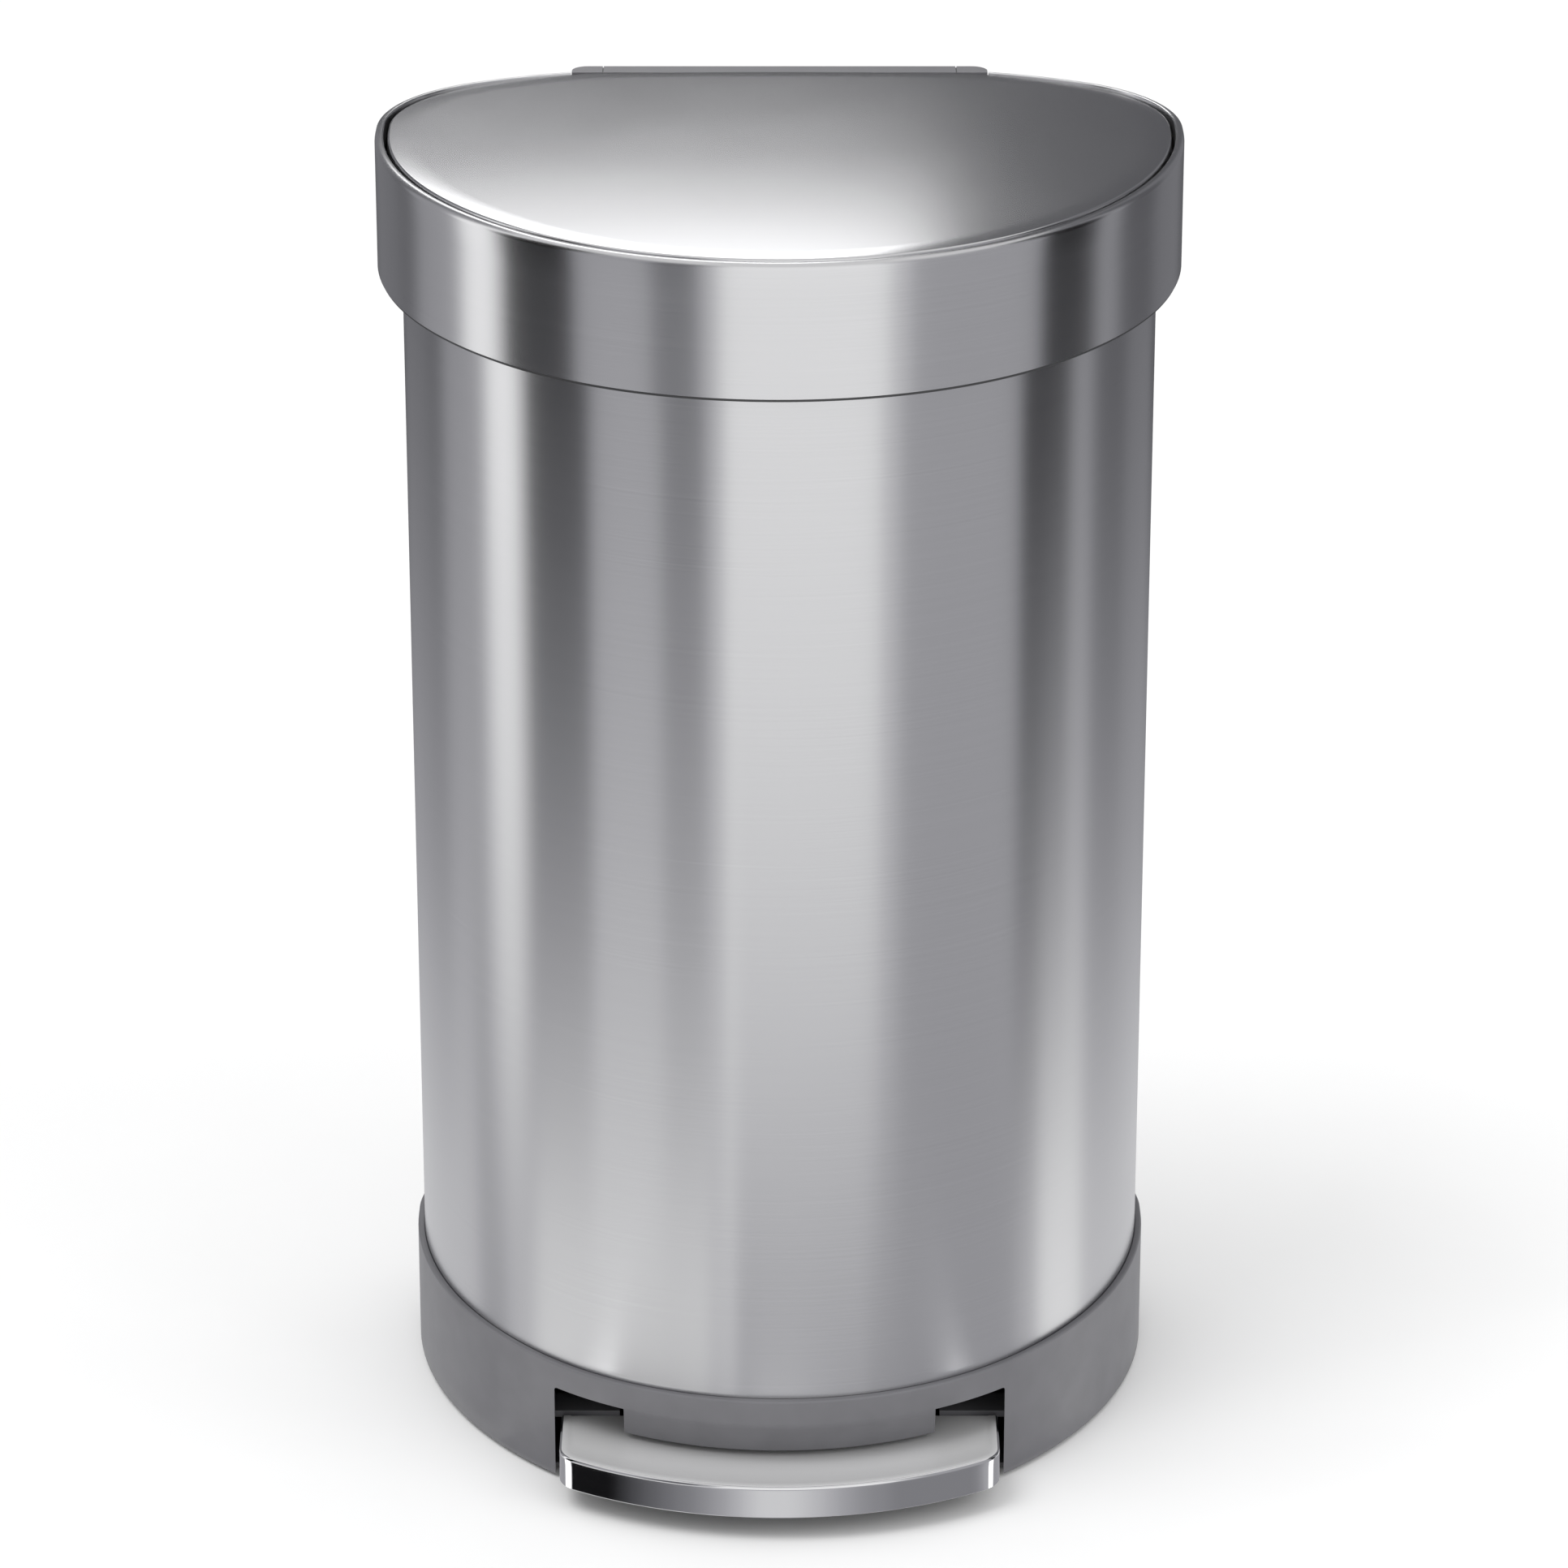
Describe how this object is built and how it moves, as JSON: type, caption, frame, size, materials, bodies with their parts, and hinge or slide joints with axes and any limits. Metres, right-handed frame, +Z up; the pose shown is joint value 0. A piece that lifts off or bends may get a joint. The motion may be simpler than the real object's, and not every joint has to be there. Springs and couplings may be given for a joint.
{
  "type": "pedal trash can",
  "caption": "D-shaped brushed-steel pedal bin with a flip-up liner rim, a soft-close lid on a back hinge, a grey plinth and a wide bow-shaped steel pedal.",
  "frame": {"origin": "middle of the bounding box on the floor", "axes": "+Z up, -Y towards the pedal, X across the front"},
  "size_m": [0.393, 0.3443, 0.6526],
  "materials": {
    "brushed_steel": "brushed sideways",
    "pedal_steel": "satin top with a polished front",
    "grey_plastic": "fine satin grain",
    "dark_plastic": "matt moulded",
    "inner_plastic": "plain moulded",
    "zinc_steel": "zinc plated",
    "bright_pin": "ground and polished",
    "bearing_plastic": "slippery natural",
    "rubber": "soft matt",
    "damper_metal": "drawn tube"
  },
  "bodies": {
    "can": {"body_shell": "brushed_steel", "base_plinth": "grey_plastic", "floor_pan": "inner_plastic", "bottom_plate": "inner_plastic", "base_screws": "zinc_steel", "rubber_feet": "rubber", "pivot_brackets": "zinc_steel", "pedal_axle": "bright_pin", "axle_clips": "zinc_steel", "liner_collar": "dark_plastic", "rod_cover": "inner_plastic", "rod_guide_upper": "bearing_plastic", "rod_guide_lower": "bearing_plastic", "damper_cylinder": "damper_metal", "damper_cap": "dark_plastic", "damper_bracket": "inner_plastic", "rim_hinge_fixed_leaf": "zinc_steel", "rim_hinge_pin": "bright_pin", "hinge_rivets": "zinc_steel"},
    "rim": {"rim_band": "brushed_steel", "rim_frame": "dark_plastic", "rim_hinge_moving_leaf": "zinc_steel", "leaf_screws": "zinc_steel", "lid_hinge_pin": "bright_pin", "lid_bumpers": "rubber"},
    "lid": {"lid_skin": "brushed_steel", "lid_inner_pan": "dark_plastic", "hinge_cover": "grey_plastic", "hinge_end_caps": "grey_plastic", "lid_cam": "bearing_plastic", "lid_screws": "zinc_steel"},
    "pedal": {"pedal_cover": "pedal_steel", "pedal_core": "dark_plastic", "pedal_lever": "zinc_steel", "lever_bush": "bearing_plastic", "pedal_screws": "zinc_steel"},
    "rod": {"push_rod": "zinc_steel", "rod_foot": "bearing_plastic", "rod_head": "bearing_plastic", "damper_arm": "zinc_steel", "damper_rod": "bright_pin"}
  },
  "joints": [
    {"name": "rim_flip", "type": "hinge", "parent": "can", "child": "rim", "pos_m": [0, 0.164, 0.6], "axis": [-1, 0, 0], "range_deg": [0, 60]},
    {"name": "lid_open", "type": "hinge", "parent": "rim", "child": "lid", "pos_m": [0, 0.165, 0.645], "axis": [-1, 0, 0], "range_deg": [0, 80]},
    {"name": "pedal_press", "type": "hinge", "parent": "can", "child": "pedal", "pos_m": [0, -0.087, 0.022], "axis": [1, 0, 0], "range_deg": [0, 7]},
    {"name": "rod_lift", "type": "slide", "parent": "can", "child": "rod", "axis": [0, 0, 1], "range_m": [0, 0.02828]}
  ],
  "couplings": [
    {"joint": "pedal_press", "follows": "lid_open", "ratio": 0.0875},
    {"joint": "rod_lift", "follows": "lid_open", "m_per_rad": 0.02025}
  ]
}
